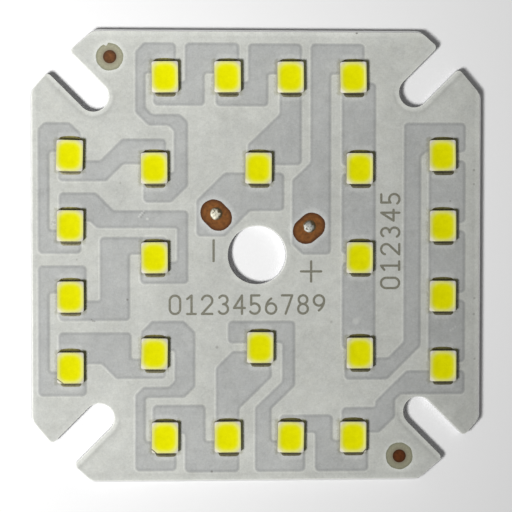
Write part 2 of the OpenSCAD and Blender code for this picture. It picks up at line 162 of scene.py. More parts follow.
class StageSettings(bpy.types.PropertyGroup):
    """Floor, lamps and camera."""

    floor: colour("Floor", "Floor under the board, for the light that it gives back", (0.75, 0.75, 0.75))
    floor_seen: colour("Seen floor", "Floor under the board, as the camera sees it", (0.97, 0.97, 0.97))
    key: strength("Key lamp", "Strength of the key lamp", 0.45)
    near: strength("Near lamp", "Power of the lamp close to the left side, in watts", 0.186)
    fill: strength("Fill", "Strength of the light from all round", 0.128)
    lens: FloatProperty(
        name="Lens", description="Focal length in millimetres", default=159.469, min=1, unit="CAMERA"
    )


# Node materials

class Finish:
    """A material that is put together one line at a time, on the object's own coordinates."""

    def __init__(self, name, roughness=0.5, metallic=0.0, specular=0.5):
        self.material = bpy.data.materials.new(name)
        self.material.use_nodes = True
        self.tree = self.material.node_tree
        self.shader = self.tree.nodes["Principled BSDF"]
        self.shader.inputs["Metallic"].default_value = metallic
        self.shader.inputs["Specular IOR Level"].default_value = specular
        self.shader.inputs["Roughness"].default_value = roughness
        self.place = self.node("TexCoord").outputs["Object"]
        self.flat = None

    def node(self, kind, *values, **settings):
        """A new node with its settings, and with values for its first sockets."""
        made = self.tree.nodes.new("ShaderNode" + kind)
        for key, value in settings.items():
            setattr(made, key, value)
        for socket, value in zip(made.inputs, values):
            self.feed(socket, value)
        return made

    def feed(self, socket, value):
        """Links a socket to another or to the object's X, Y or Z in metres, or sets its value."""
        if isinstance(value, str):
            value = self.node("SeparateXYZ", self.place).outputs[value]
        if isinstance(value, bpy.types.NodeSocket):
            self.tree.links.new(value, socket)
        else:
            socket.default_value = (*value, 1) if socket.type == "RGBA" else value

    def noise(self, size, detail=2.0, stretch=(1, 1, 1), roughness=0.5):
        """Noise whose features are about size millimetres across, drawn out by stretch."""
        turned = self.node("Mapping", self.place)
        turned.inputs["Scale"].default_value = [1 / s for s in stretch]
        made = self.node("TexNoise", turned.outputs["Vector"])
        for key, value in (("Scale", 1 / (size * MM)), ("Detail", detail), ("Roughness", roughness)):
            made.inputs[key].default_value = value
        return made.outputs["Fac"]

    def span(self, value, low, high, to_low=0.0, to_high=1.0):
        """The value, brought from one range to another and held inside it."""
        return self.node("MapRange", value, low, high, to_low, to_high).outputs["Result"]

    def math(self, operation, *values):
        return self.node("Math", *values, operation=operation).outputs[0]

    def least(self, values, operation="MINIMUM"):
        """The smallest of the values, or the largest with another operation."""
        return reduce(lambda a, b: self.math(operation, a, b), values)

    def vector(self, operation, *values):
        return self.node("VectorMath", *values, operation=operation)

    def plan(self):
        """The object's coordinates in millimetres, seen from above."""
        if not self.flat:
            self.flat = self.vector("MULTIPLY", self.place, (1 / MM, 1 / MM, 0)).outputs[0]
        return self.flat

    def distance(self, point):
        """Distance in millimetres from an upright line through the point."""
        return self.vector("DISTANCE", self.plan(), (point[0], point[1], 0)).outputs["Value"]

    def nearest(self, points):
        """Distance in millimetres from the nearest of the points, seen from above."""
        return self.least([self.distance(point) for point in points])

    def off_boxes(self, places, half_w, half_l):
        """Distance in millimetres from the nearest of the upright boxes, seen from above."""
        gaps = []
        for place in places:
            value = self.plan()
            for operation, *other in (
                ("SUBTRACT", (place.x, place.y, 0)), ("ABSOLUTE",), ("SUBTRACT", (half_w, half_l, 0)),
                ("MAXIMUM", (0, 0, 0)),
            ):
                value = self.vector(operation, value, *other).outputs["Vector"]
            gaps.append(self.vector("LENGTH", value).outputs["Value"])
        return self.least(gaps)

    def spots(self, marks):
        """Cover by the marks, each an x, a y and a radius in millimetres, and a strength from 0 to 1."""
        covers = [
            self.span(self.distance((x, y)), 0.5 * radius, 1.1 * radius, strength, 0.0)
            for x, y, radius, strength in marks
        ]
        return self.least(covers, "MAXIMUM")

    def scaled(self, value, factor):
        """A colour times a factor."""
        made = self.vector("SCALE", value)
        self.feed(made.inputs["Scale"], factor)
        return made.outputs[0]

    def faded(self, tone, *steps):
        """The tone, scaled by one span after another."""
        for step in steps:
            tone = self.scaled(tone, self.span(*step))
        return tone

    def aged(self, tone):
        """The tone with painted light and shade: paler along the top and the bottom of the board, where the
        light is stronger, and greyer at its left side, where it is weaker.
        """
        off_middle = self.math("ABSOLUTE", self.math("ADD", "Y", 0.0015))
        return self.faded(tone, ("X", -0.0235, -0.006, 0.94, 1.02), (off_middle, 0.008, 0.024, 0.965, 1.07))

    def ramp(self, value, *stops):
        """Colours or levels at places along a value from 0 to 1."""
        made = self.node("ValToRGB", value)
        stops_made = made.color_ramp.elements
        while len(stops_made) < len(stops):
            stops_made.new(0.5)
        for element, (place, level) in zip(stops_made, stops):
            element.position = place
            element.color = (level, level, level, 1) if isinstance(level, float) else (*level, 1)
        return made.outputs["Color"]

    def mix(self, share, a, b, blend="MIX"):
        made = self.node("Mix", share, data_type="RGBA", blend_type=blend)
        colours_in = [socket for socket in made.inputs if socket.type == "RGBA"]
        self.feed(colours_in[0], a)
        self.feed(colours_in[1], b)
        return next(socket for socket in made.outputs if socket.type == "RGBA")

    def attribute(self, name):
        return self.node("Attribute", attribute_name=name).outputs["Fac"]

    def base(self, value):
        self.feed(self.shader.inputs["Base Color"], value)

    def roughness(self, value, to_low, to_high, low=0.3, high=0.7):
        """Roughness that goes from to_low to to_high while the value goes from low to high."""
        self.feed(self.shader.inputs["Roughness"], self.span(value, low, high, to_low, to_high))

    def bump(self, height, depth):
        """Relief of depth millimetres, on top of any that is already there."""
        made = self.node("Bump")
        made.inputs["Distance"].default_value = depth * MM
        self.feed(made.inputs["Height"], height)
        normal = self.shader.inputs["Normal"]
        if normal.links:
            self.feed(made.inputs["Normal"], normal.links[0].from_socket)
        self.feed(normal, made.outputs["Normal"])


def tinted(value, factor):
    return tuple(min(1.0, c * factor) for c in value)


# Meshes

def make_whole(bm):
    """Merges points that lie together, and flat faces that adjoin."""
    bmesh.ops.remove_doubles(bm, verts=bm.verts, dist=SAME_POINT)
    bmesh.ops.dissolve_limit(bm, angle_limit=FLAT, verts=bm.verts, edges=bm.edges)


def start_from(node):
    """A copy of a CAD node in millimetres, its points merged and its flat faces made whole."""
    bm = bmesh.new()
    bm.from_mesh(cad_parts[node].data)
    bmesh.ops.scale(bm, vec=(1 / MM,) * 3, verts=bm.verts)
    make_whole(bm)
    return bm


def faces_at(bm, height):
    """Faces that look up and lie at that height."""
    bm.normal_update()
    level = [f for f in bm.faces if abs(f.calc_center_median().z - height) < 2 * SAME_POINT]
    return {f for f in level if f.normal.z > LEVEL}


def tops_of(node, height):
    """A copy of a CAD node of which only the faces at that height are left."""
    bm = start_from(node)
    kept = faces_at(bm, height)
    bmesh.ops.delete(bm, geom=[f for f in bm.faces if f not in kept], context="FACES")
    return bm


def linked(items, kind):
    """The verts of faces, or the link_edges or link_faces of verts, each once and always in the same order."""
    return list(dict.fromkeys(part for item in items for part in getattr(item, kind)))


def move(bm, faces, vec):
    bmesh.ops.translate(bm, vec=vec, verts=linked(faces, "verts"))


def scale(bm, faces, vec):
    bmesh.ops.scale(bm, vec=vec, verts=linked(faces, "verts"))


def bevel(bm, geom, offset, segments, affect="EDGES"):
    return bmesh.ops.bevel(
        bm, geom=geom, offset=offset, affect=affect, segments=segments, profile=0.5, material=-1
    )


def inset(bm, faces, width, rise=0.0):
    """Draws each face in by itself and lifts it."""
    return bmesh.ops.inset_individual(bm, faces=faces, thickness=width, depth=rise, use_even_offset=True)


def raised(bm, faces, height):
    """Makes flat faces into closed solids of that height and returns their tops."""
    made = bmesh.ops.extrude_face_region(bm, geom=list(faces))
    tops = [g for g in made["geom"] if isinstance(g, bmesh.types.BMFace)]
    move(bm, tops, (0, 0, height))
    return tops


def rounded_face(bm, size, radius, at=(0, 0, 0), segments=4):
    """A flat rectangle with rounded corners."""
    made = bmesh.ops.create_grid(
        bm, x_segments=1, y_segments=1, size=0.5,
        matrix=Matrix.Translation(at) @ Matrix.Diagonal((*size, 1, 1)),
    )
    rounds = bevel(bm, made["verts"], radius, segments, "VERTICES")
    return max((f for v in rounds["verts"] for f in v.link_faces), key=lambda f: f.calc_area())


def round_face(bm, at, radius, segments, pull, wobble, seed, tooth):
    """A flat disc, pulled apart into an oval, with an uneven rim and perhaps a tooth left in it."""
    draw = random.Random(seed)
    made = bmesh.ops.create_circle(
        bm, cap_ends=True, radius=radius, segments=segments, matrix=Matrix.Translation(at)
    )
    for v in made["verts"]:
        out = v.co - at
        outward = out.normalized()
        uneven = noise.noise(out * 1.3 + Vector((seed, 0, 0))) + draw.uniform(-0.3, 0.3)
        v.co += outward * wobble * uneven
        v.co += pull if out.dot(pull) > 0 else -pull
        if tooth and abs(math.degrees(math.atan2(out.y, out.x)) - tooth[0]) < TOOTH_WIDTH / 2:
            v.co -= outward * tooth[1]
    return made["verts"][0].link_faces[0]


def finished_mesh(bm, name, unit=MM):
    """The bmesh as a mesh in metres, smooth but for its creases."""
    bmesh.ops.recalc_face_normals(bm, faces=bm.faces)
    bmesh.ops.scale(bm, vec=(unit,) * 3, verts=bm.verts)
    mesh = bpy.data.meshes.new(name)
    bm.to_mesh(mesh)
    bm.free()
    mesh.polygons.foreach_set("use_smooth", [True] * len(mesh.polygons))
    mesh.set_sharp_from_angle(angle=CREASE)
    return mesh


def solid_mesh(bm, name):
    """The bmesh as a mesh that is still in millimetres, for joining and cutting."""
    return finished_mesh(bm, name, 1.0)


def placed(name, data):
    """A new object in the scene."""
    made = bpy.data.objects.new(name, data)
    bpy.context.scene.collection.objects.link(made)
    return made


def joined(body, *steps):
    """The closed mesh body after each step, an operation and a closed mesh, as a new mesh."""
    objects = [placed("blank", body)]
    for operation, mesh in steps:
        objects.append(placed("tool", mesh))
        step = objects[0].modifiers.new("step", "BOOLEAN")
        step.operation = operation
        step.solver = "EXACT"
        step.object = objects[-1]
    shaped = objects[0].evaluated_get(bpy.context.evaluated_depsgraph_get())
    mesh = bpy.data.meshes.new_from_object(shaped)
    for o in objects:
        used = o.data
        bpy.data.objects.remove(o)
        bpy.data.meshes.remove(used)
    if not mesh.polygons:
        raise RuntimeError("a cut left nothing of " + mesh.name)
    return mesh


def reopened(mesh):
    bm = bmesh.new()
    bm.from_mesh(mesh)
    bpy.data.meshes.remove(mesh)
    return bm


def add_piece(name, shape, finishes, nodes):
    """A piece from a mesh or a bmesh: it rides on the board and stands for the CAD nodes named."""
    mesh = finished_mesh(shape, name) if isinstance(shape, bmesh.types.BMesh) else shape
    piece = placed(name, mesh)
    for finish in finishes:
        mesh.materials.append(finish.material)
    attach(piece, "root")
    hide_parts(*nodes)
    return piece


def even_shading(piece):
    """Lets the wide faces rule the shading, so that narrow slopes don't bend it."""
    step = piece.modifiers.new("shading", "WEIGHTED_NORMAL")
    step.keep_sharp = True
    step.weight = 50


def dress(node, finish):
    """Gives a CAD node that is shown as it is its finish."""
    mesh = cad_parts[node].data
    mesh.materials.clear()
    mesh.materials.append(finish.material)


# Base plate

PUNCHED, SCORED, SNAPPED = 1, 2, 3


def rolled_aluminium():
    f = Finish("rolled_aluminium", roughness=0.4, metallic=1.0)
    lines = f.noise(0.05, detail=3, stretch=(60, 1, 60))
    f.base(f.mix(f.noise(6, detail=3), (0.66, 0.67, 0.68), (0.80, 0.80, 0.80)))
    f.roughness(lines, 0.32, 0.52)
    f.bump(lines, 0.0015)
    f.bump(f.noise(0.7, detail=4), 0.002)
    return f


def punched_aluminium():
    """Bright where the punch slid past, torn below it."""
    f = Finish("punched_aluminium", roughness=0.4, metallic=1.0)
    torn = f.span(f.math("MULTIPLY_ADD", f.noise(0.5), 0.0003, "Z"), 0.0008, 0.00068)
    f.base(f.mix(torn, (0.80, 0.80, 0.81), (0.52, 0.52, 0.53)))
    f.roughness(torn, 0.3, 0.6, 0, 1)
    f.bump(f.noise(0.05, detail=3, stretch=(1, 1, 25)), 0.008)
    f.bump(f.math("MULTIPLY", torn, f.noise(0.07, detail=3)), 0.02)
    return f


def scored_aluminium():
    """The bright cut left by the scoring wheel, with painted shade along the top and the right of the board."""
    f = Finish("scored_aluminium", roughness=0.33, metallic=1.0)
    marks = f.noise(0.035, detail=2, stretch=(1, 1, 6))
    bright = f.mix(f.noise(1.2, detail=3), (0.78, 0.78, 0.78), (0.93, 0.93, 0.92))
    f.base(f.faded(bright, (f.math("MAXIMUM", "X", "Y"), 0.0236, 0.0237, 1.0, 0.72)))
    f.roughness(marks, 0.28, 0.45)
    f.bump(marks, 0.004)
    return f


def snapped_aluminium():
    f = Finish("snapped_aluminium", roughness=0.65, metallic=1.0)
    grain = f.noise(0.07, detail=4)
    f.base(f.mix(grain, (0.40, 0.40, 0.40), (0.66, 0.66, 0.65)))
    f.bump(grain, 0.03)
    return f


# Heights between which the sides were snapped, above and below the scored grooves
SNAPPED_LOW, SNAPPED_HIGH = 0.25, 0.75
# Every snapped face that is longer than this runs along a whole side
SIDE_BAND = 5
# How near the sides the middle of a snapped face lies
SIDE_NEAR = 0.3
# How many cuts are made across a band's height and along its length
BAND_CUTS = (3, 230)
BURR = 0.06


def mark_edges(bm):
    """Gives the base's upright and slanted faces their finishes: punched, scored or snapped."""
    bm.normal_update()
    side = max(v.co.x for v in bm.verts)
    for face in bm.faces:
        middle, slant = face.calc_center_median(), abs(face.normal.z)
        outside = max(abs(middle.x), abs(middle.y)) > side - SIDE_NEAR
        between = all(SNAPPED_LOW - 0.01 < v.co.z < SNAPPED_HIGH + 0.01 for v in face.verts)
        if slant > LEVEL:
            continue
        if slant > UPRIGHT:
            face.material_index = SCORED
        else:
            face.material_index = SNAPPED if outside and between else PUNCHED


def base_bmesh(sizes):
    bm = start_from("base_plate")
    mark_edges(bm)

    def band_edges():
        """Edges of the long snapped faces."""
        return [
            e for e in bm.edges if any(
                f.material_index == SNAPPED and max((v.co - f.verts[0].co).length for v in f.verts) > SIDE_BAND
                for f in e.link_faces
            )
        ]

    # The snapped sides are broken up and pushed in unevenly
    upright = [e for e in band_edges() if abs(e.verts[0].co.z - e.verts[1].co.z) > 0.1]
    bmesh.ops.subdivide_edges(bm, edges=upright, cuts=BAND_CUTS[0], use_grid_fill=True)
    along = [e for e in band_edges() if e.calc_length() > SIDE_BAND]
    bmesh.ops.subdivide_edges(bm, edges=along, cuts=BAND_CUTS[1], use_grid_fill=True)
    for v in bm.verts:
        snapped = any(f.material_index == SNAPPED for f in v.link_faces) and len(v.link_edges) > 3
        if snapped and SNAPPED_LOW < v.co.z < SNAPPED_HIGH:
            uneven = 0.5 + 0.5 * noise.noise(v.co * 2.1) + 0.5 * noise.noise(v.co * 6.3)
            k = 0 if abs(v.co.x) > abs(v.co.y) else 1
            v.co[k] -= math.copysign(sizes.snap_depth / MM * max(0.0, uneven), v.co[k])
    bottom = min(v.co.z for v in bm.verts)
    backs = [
        e for e in bm.edges
        if {f.material_index for f in e.link_faces} == {0, PUNCHED}
        and all(v.co.z < bottom + SAME_POINT for v in e.verts)
    ]
    bevel(bm, backs, BURR, 2)
    return bm


class LEDBOARD_OT_base_plate(bpy.types.Operator):
    """Make the aluminium base with its punched, scored and snapped edges"""

    bl_idname = "led_board.base_plate"
    bl_label = "Base plate"

    def execute(self, context):
        shape = base_bmesh(context.scene.led_board.sizes)
        finishes = [rolled_aluminium(), punched_aluminium(), scored_aluminium(), snapped_aluminium()]
        even_shading(add_piece("base_plate_dressed", shape, finishes, ["base_plate"]))
        return {"FINISHED"}


# Insulating layer

MINUS_PAD = Vector((-4.35, 4.4 + ARTWORK_LIFT, 0))
PLUS_PAD = Vector((5.55, 3 + ARTWORK_LIFT, 0))
FIDUCIALS = [Vector((-15.6, 21.1 + ARTWORK_LIFT, 0)), Vector((15.3, -21.4 + ARTWORK_LIFT, 0))]
# Half the distance by which a wire pad is drawn out, both ways
MINUS_PULL, PLUS_PULL = Vector((0.28, -0.28, 0)), Vector((0.33, 0.28, 0))
PAD_ENDS = [MINUS_PAD + MINUS_PULL, MINUS_PAD - MINUS_PULL, PLUS_PAD + PLUS_PULL, PLUS_PAD - PLUS_PULL]
# The slots' round ends: distance from the middle of the board, sideways offset and radius
SLOT_END, SLOT_OFFSET, SLOT_R = 34.1 * math.sqrt(0.5), 0.39, 1.6


def filled_resin(colours):
    """Painted highlight at the cut edges, and darker under the round openings."""
    f = Finish("filled_resin", roughness=0.45, specular=0.4)
    near = f.nearest(FIDUCIALS)
    specks = f.noise(0.16, detail=4)
    body = f.ramp(specks, (0.3, tinted(colours.resin, 0.84)), (0.7, tinted(colours.resin, 1.16)))
    # Browner beside the copper dot, greener and darker towards the rim of the opening
    body = f.mix(f.span(near, 1.05, 0.72), body, (0.277, 0.246, 0.17))
    body = f.mix(f.span(near, 1.2, 1.42, 0.0, 0.75), body, (0.235, 0.245, 0.165))
    # Painted shade: darker in the right half of the board, where the light is weaker
    body = f.faded(body, ("X", 0, 0.001, 1.05, 0.89))
    edge = f.ramp(specks, (0.3, (0.70, 0.70, 0.65)), (0.7, (0.86, 0.86, 0.81)))
    f.base(f.mix(f.span(near, 1.55, 1.48), edge, body))
    f.bump(specks, 0.006)
    return f


def insulation_bmesh(sizes):
    bm = start_from("insulating_layer")
    tops = faces_at(bm, INSULATION_TOP)
    rims = [
        e for e in bm.edges
        if len(tops & set(e.link_faces)) == 1 and any(abs(f.normal.z) < UPRIGHT for f in e.link_faces)
    ]
    bevel(bm, rims, sizes.edge_roll / MM, 3)
    return bm


class LEDBOARD_OT_insulation(bpy.types.Operator):
    """Make the insulating layer with its rolled edges"""

    bl_idname = "led_board.insulation"
    bl_label = "Insulating layer"

    def execute(self, context):
        board = context.scene.led_board
        shape, finishes = insulation_bmesh(board.sizes), [filled_resin(board.colours)]
        even_shading(add_piece("insulation_dressed", shape, finishes, ["insulating_layer"]))
        return {"FINISHED"}


# Copper

def bare_copper(colours):
    """Dull copper with a darker band along the rim of each wire pad."""
    f = Finish("bare_copper", roughness=0.6, metallic=0.1, specular=0.15)
    patches = f.noise(0.35, detail=5, roughness=0.65)
    rim = f.span(f.nearest(PAD_ENDS), 0.98, 1.32, 0.0, 0.85)
    copper = colours.copper
    body = f.ramp(patches, (0.32, tinted(copper, 0.66)), (0.5, copper), (0.7, tinted(copper, 1.38)))
    f.base(f.mix(rim, body, (0.075, 0.027, 0.010)))
    f.roughness(patches, 0.5, 0.7)
    f.bump(f.noise(0.09, detail=3), 0.004)
    return f


def dull_copper():
    """The small round marks, browned like the pads."""
    f = Finish("dull_copper", roughness=0.6, metallic=0.1, specular=0.15)
    patches = f.noise(0.3, detail=4)
    body = f.ramp(patches, (0.3, (0.112, 0.044, 0.0155)), (0.7, (0.21, 0.082, 0.028)))
    body = f.mix(f.span(f.nearest(FIDUCIALS), 0.35, 0.7, 0.0, 0.8), body, (0.062, 0.032, 0.017))
    # Painted shade: darker in the right half of the board, where the light is weaker
    f.base(f.mix(f.span("X", 0, 0.001), body, (0.72, 0.50, 0.28), "MULTIPLY"))
    f.bump(patches, 0.006)
    return f


class LEDBOARD_OT_copper(bpy.types.Operator):
    """Give the copper tracks and the round marks their finish"""

    bl_idname = "led_board.copper"
    bl_label = "Copper"

    def execute(self, context):
        dress("copper_tracks", bare_copper(context.scene.led_board.colours))
        dress("fiducial_dots", dull_copper())
        return {"FINISHED"}


# Solder mask

# Dirt and small chips: x, y and radius in millimetres, and strength
DARK_SPECKS = (
    (-13.75, -4.7, 0.15, 0.6), (-4.25, -9.8, 0.19, 0.35), (7.95, -7.15, 0.18, 0.25), (23.25, 9.05, 0.16, 0.4),
    (23.25, 7.55, 0.15, 0.35), (23.35, -4.65, 0.16, 0.35), (23.3, -6.35, 0.16, 0.4), (23.4, -11.15, 0.15, 0.35),
    (-14.5, 7.65, 0.12, 0.3), (-4.8, -23.05, 0.15, 0.6), (-19.1, -0.45, 0.12, 0.3), (20.7, 5.75, 0.12, 0.4),
    (-17.55, -6.8, 0.10, 0.5), (-17.4, -6.95, 0.10, 0.5), (-17.22, -6.98, 0.09, 0.5), (10.6, 23.6, 0.15, 0.8),
    (-21.65, 3.55, 0.10, 0.3), (-21.54, 3.5, 0.10, 0.3), (-21.43, 3.55, 0.10, 0.3), (-21.38, 3.42, 0.10, 0.35),
    (-21.78, 3.31, 0.10, 0.25), (-12.3, 4.05, 0.12, 0.3), (-12.12, 4.25, 0.12, 0.3), (-11.95, 4.45, 0.12, 0.3),
)
PALE_SPECKS = (
    (-12.55, 4.1, 0.13, 0.4), (-12.4, 4.3, 0.13, 0.4), (-12.22, 4.5, 0.13, 0.4), (-12.05, 4.7, 0.12, 0.35),
    (-11.65, 3.85, 0.18, 0.4), (10.58, -7.07, 0.42, 0.3), (10.86, -6.8, 0.32, 0.16), (11.12, -6.58, 0.25, 0.1),
    (20.8, -8.1, 0.15, 0.18), (21.05, -7.9, 0.15, 0.18), (21.3, -7.7, 0.15, 0.18),
)
BORE_R = 3.1


def white_mask(colours):
    """White coat: greyer over copper, darkest where it thins on the shoulder and lightest beside it."""
    f = Finish("white_mask", roughness=0.42, specular=0.45)
    bare, track = colours.mask, colours.mask_track
    tone = f.ramp(f.span("Z", MASK_BARE * MM, MASK_OVER_COPPER * MM), *(
        (place, tinted(coat, level)) for place, coat, level in (
            (0.0, bare, 1.0), (0.05, bare, 1.08), (0.18, bare, 1.04), (0.42, bare, 0.90), (0.66, track, 0.95),
            (0.83, track, 0.85), (0.93, track, 0.84), (0.98, track, 0.94), (1.0, track, 1.0),
        )
    ))
    off_slot, facing = beside_slots(f)
    strip = f.ramp(
        off_slot, (0.0, 1.0), (0.14, 0.91), (0.36, 0.82), (0.44, 0.44), (0.56, 0.18), (0.66, 0.24),
        (0.85, 0.44), (1.0, 0.6)
    )
    off_edge = f.least([off_slot, f.math("SUBTRACT", f.distance((0, 0)), BORE_R), *off_sides(f)])
    band = f.ramp(
        off_edge, (0.0, 1.0), (0.25, 1.0), (0.38, 0.75), (0.46, 0.55), (0.56, 0.2), (0.66, 0.1), (0.78, 1 / 3)
    )
    # Painted shade towards the lower right of the board, where the light is weaker
    lower_right = f.math("MULTIPLY", f.span("X", 0.010, 0.021), f.span("Y", 0.002, -0.012))
    tone = f.faded(
        tone,
        # Painted highlight where the coat was pulled down at the punched edges, and paler round the openings
        # that were kept free
        ("Z", MASK_BARE * MM - 1e-6, (INSULATION_TOP + 0.012) * MM, 1.0, 1.3),
        (f.nearest(PAD_ENDS), 1.5, 2.0, 1.3, 1.0),
        (f.nearest(FIDUCIALS), 1.5, 1.9, 1.19, 1.0),
        # Paler on the strip that bends down beside the slots' lower sides, with a darker line beyond it
        (facing, 0, 1, 1.0, f.span(strip, 0, 1, 0.85, 1.1)),
        # Painted highlight in a band along every edge, with a faint dark line beside it
        (band, 0, 1, 0.96, 1.08),
        # Paler just inside the top edge and darker along the bottom edge; painted shade along the top edge,
        # towards the lower right and along the right edge, where the light falls away
        ("Y", 0.0220, 0.0232, 1.0, 1.08),
        ("Y", 0.0236, 0.0237, 1.0, 0.82),
        ("Y", -0.0230, -0.0236, 1.0, 0.94),
        (lower_right, 0, 1, 1.0, 0.90),
        ("X", 0.0212, 0.0225, 1.0, 0.98),
        # Paler past the pads' ends
        (f.off_boxes(PADS, 0.85, 1.99), 0.32, 0.58, 1.15, 1.0),
    )
    # Darker close to the packages, and painted yellow light from the phosphor in the shadow beside their right
    # walls
    packages = [standing(i).translation for i in range(LED_COUNT)]
    blotches = f.span(f.noise(0.3, detail=3), 0, 1, -0.25, 0.25)
    off_package = f.math("ADD", f.off_boxes(packages, LED_W / 2, LED_L / 2), blotches)
    tone = f.mix(f.span(off_package, 0.1, 0.36, 1.0, 0.0), tone, (0.76, 0.75, 0.66), "MULTIPLY")
    beside = [place + Vector((LED_W / 2 + 0.08, 0.18, 0)) for place in packages]
    lit = f.span(f.off_boxes(beside, 0.04, LED_L / 2 - 0.18), 0.0, 0.2, 1.0, 0.0)
    tone = f.mix(lit, tone, f.mix(1.0, f.scaled(tone, 1.4), (1.0, 1.0, 0.5), "MULTIPLY"))
    tone = f.faded(
        tone,
        (f.noise(6, detail=8, roughness=1.0), 0.2, 0.8, 0.67, 1.33),
        (f.noise(0.15, detail=1), 0.2, 0.8, 0.955, 1.045),
        (f.noise(1.2, detail=5, roughness=0.9), 0.2, 0.8, 0.97, 1.03),
    )
    warm = f.span(f.noise(2.5, detail=6, roughness=1.0), 0.3, 0.7)
    flecks = f.span(f.noise(0.3, detail=3), 0.66, 0.8, 0.0, 0.5)
    for share, colour, blend in (
        (warm, (1.0, 0.993, 0.957), "MULTIPLY"), (f.spots(DARK_SPECKS), (0.12, 0.11, 0.09), "MIX"),
        (f.spots(PALE_SPECKS), (0.80, 0.81, 0.76), "MIX"), (flecks, (0.80, 0.80, 0.76), "MULTIPLY"),
    ):
        tone = f.mix(share, tone, colour, blend)
    # Painted light and shade across the whole board
    f.base(f.aged(tone))
    f.bump(f.math("MULTIPLY", f.span(off_slot, 0.5, 0.0), facing), -0.03)
    f.roughness(f.noise(1.1, detail=3), 0.36, 0.5)
    f.bump(f.noise(0.35, detail=2), 0.0035)
    f.bump(f.noise(0.09, detail=2), 0.001)
    return f


def off_sides(f):
    """Distances in millimetres from the straight sides, left or right and top or bottom."""
    low, high = (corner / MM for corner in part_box("insulating_layer"))
    middle, half = (low + high) / 2, (high - low) / 2
    gaps = []
    for k, name in enumerate("XY"):
        off = f.math("ABSOLUTE", f.math("SUBTRACT", name, middle[k] * MM))
        gaps.append(f.math("SUBTRACT", half[k], f.math("DIVIDE", off, MM)))
    return gaps


def beside_slots(f):
    """Distance in millimetres from the slots' edges, and 1 where that edge bends down, on the lower sides."""
    # The slots repeat at quarter turns, so one slot stands for all of them
    x, y = (f.math("MULTIPLY", name, 1 / MM) for name in "XY")
    wide, high = f.math("ABSOLUTE", x), f.math("ABSOLUTE", y)
    turned = f.math("LESS_THAN", f.math("MULTIPLY", x, y), 0.0)
    u = f.span(turned, 0, 1, wide, high)
    v = f.span(turned, 0, 1, high, wide)
    half = math.sqrt(0.5)
    along = f.math("MINIMUM", f.math("MULTIPLY_ADD", f.math("ADD", u, v), half, -SLOT_END), 0.0)
    across = f.math("MULTIPLY_ADD", f.math("SUBTRACT", v, u), half, -SLOT_OFFSET)
    reach = f.math("SQRT", f.math("MULTIPLY_ADD", along, along, f.math("MULTIPLY", across, across)))
    down = f.math("MULTIPLY_ADD", f.math("SIGN", y), along, f.math("MULTIPLY", f.math("SIGN", x), across))
    facing = f.span(f.math("DIVIDE", down, reach), 0.45, -0.35)
    return f.math("SUBTRACT", reach, SLOT_R), facing


def mask_sheet(sizes):
    """The coat on bare insulation: a thin sheet whose rim slopes down."""
    bm = tops_of("insulating_layer", INSULATION_TOP)

    def drawn_in(faces, width, rise=0.0):
        return bmesh.ops.inset_region(
            bm, faces=faces, thickness=width, depth=rise, use_boundary=True, use_even_offset=True
        )["faces"]

    ring = drawn_in(list(bm.faces), sizes.mask_setback / MM)
    bmesh.ops.delete(bm, geom=ring, context="FACES")
    rise = MASK_BARE - INSULATION_TOP
    tops = raised(bm, bm.faces, 0.4 * rise)
    for width, share in ((0.05, 0.4), (0.06, 0.2)):
        drawn_in(tops, width, share * rise)
    return solid_mesh(bm, "sheet")


# The shoulder's rise over a track, in steps: shares of its width and of its height
SHOULDER = (
    (0.11, 0.05), (0.11, 0.13), (0.11, 0.24), (0.11, 0.24), (0.11, 0.17), (0.12, 0.10), (0.15, 0.05),
    (0.18, 0.02),
)
# How far the shoulders reach down into the sheet, and how far their foot lies under its surface
SHOULDER_FOOT, SHOULDER_DIP = 0.012, 0.0006


def mask_pillows(sizes):
    """The coat over the copper: each track's outline, widened, rises in soft steps to the top."""
    bm = tops_of("copper_tracks", FOIL_TOP)
    out, inside = sizes.shoulder_out / MM, sizes.shoulder_in / MM
    ring = inset(bm, list(bm.faces), -out)
    bmesh.ops.delete(bm, geom=ring["faces"], context="FACES")
    tops = raised(bm, bm.faces, SHOULDER_FOOT)
    move(bm, bm.faces, (0, 0, MASK_BARE - SHOULDER_DIP - SHOULDER_FOOT - FOIL_TOP))
    rise = MASK_OVER_COPPER - MASK_BARE + SHOULDER_DIP
    for wide, high in SHOULDER:
        inset(bm, tops, (out + inside) * wide, rise * high)
    return solid_mesh(bm, "pillows")


# The round openings: middle, radius, segments, pull both ways, unevenness, seed, and the direction
# in degrees and the depth of a tooth
ROUND_OPENINGS = (
    (MINUS_PAD, 1.4, 48, MINUS_PULL, 0.04, 2, None), (PLUS_PAD, 1.4, 48, PLUS_PULL, 0.04, 5, None),
    (FIDUCIALS[0], 1.45, 54, Vector(), 0.05, 0, (108, 0.22)), (FIDUCIALS[1], 1.45, 54, Vector(), 0.05, 1, None),
)


def mask_openings():
    """What the coat leaves free: LED pads, wire pads and round marks."""
    bm = bmesh.new()
    base, height = INSULATION_TOP - 0.05, 0.3
    near, faces = 0.7, []
    for pads in PADS:
        for end in ENDS:
            half_w, right, bow, far = PAD_SHAPES[end]
            half_l = (far - near) / 2
            middle = Vector((pads.x + right, pads.y + end * (near + far) / 2, base))
            face = rounded_face(bm, (2 * half_w, far - near), PAD_CORNER, middle)
            ends = [e for e in face.edges if all(end * (v.co.y - middle.y) > half_l - 0.01 for v in e.verts)]
            bmesh.ops.subdivide_edges(bm, edges=ends, cuts=7)
            face = next(f for f in bm.faces if (f.calc_center_bounds() - middle).length < 0.05)
            for v in face.verts:
                if end * (v.co.y - middle.y) > 0:
                    v.co.y -= end * bow * ((v.co.x - middle.x) / half_w) ** 2
            faces.append(face)
    for middle, *shape in ROUND_OPENINGS:
        faces.append(round_face(bm, Vector((*middle.xy, base)), *shape))
    raised(bm, faces, height)
    return solid_mesh(bm, "openings")


